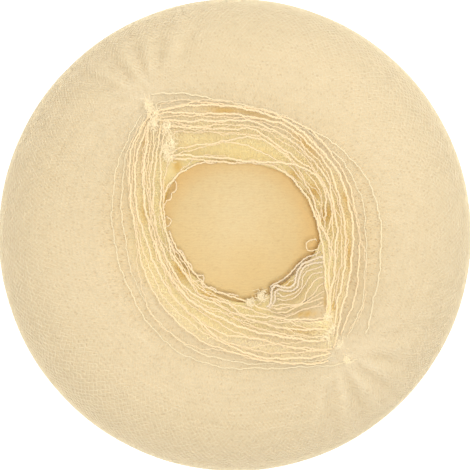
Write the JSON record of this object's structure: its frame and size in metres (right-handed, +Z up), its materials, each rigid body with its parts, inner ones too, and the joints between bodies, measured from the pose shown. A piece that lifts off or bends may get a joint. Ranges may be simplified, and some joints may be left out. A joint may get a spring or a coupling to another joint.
{
  "type": "wig cap",
  "caption": "Hollow knitted net wig cap standing on its flattened crown, with crinkled elastic hem strands nested round its open mouth.",
  "frame": {"origin": "middle of the flattened crown that the cap stands on", "axes": "+Z up, out of the mouth; +X to the picture's right and +Y to the picture's top"},
  "size_m": [0.184, 0.1839, 0.0955],
  "materials": {
    "net": "fine matt nylon knit",
    "hem": "crinkled elastic yarn, soft sheen",
    "tuft": "fuzzy matt thread"
  },
  "bodies": {
    "root": {"net_body": "net", "hem_strand_1": "hem", "hem_strand_2": "hem", "hem_strand_3": "hem", "hem_strand_4": "hem", "hem_strand_5": "hem", "hem_strand_6": "hem", "hem_strand_7": "hem", "hem_strand_8": "hem", "hem_strand_9": "hem", "thread_tuft_1": "tuft", "thread_tuft_2": "tuft", "thread_tuft_3": "tuft", "thread_tuft_4": "tuft", "thread_tuft_5": "tuft", "thread_tuft_6": "tuft"}
  },
  "joints": []
}
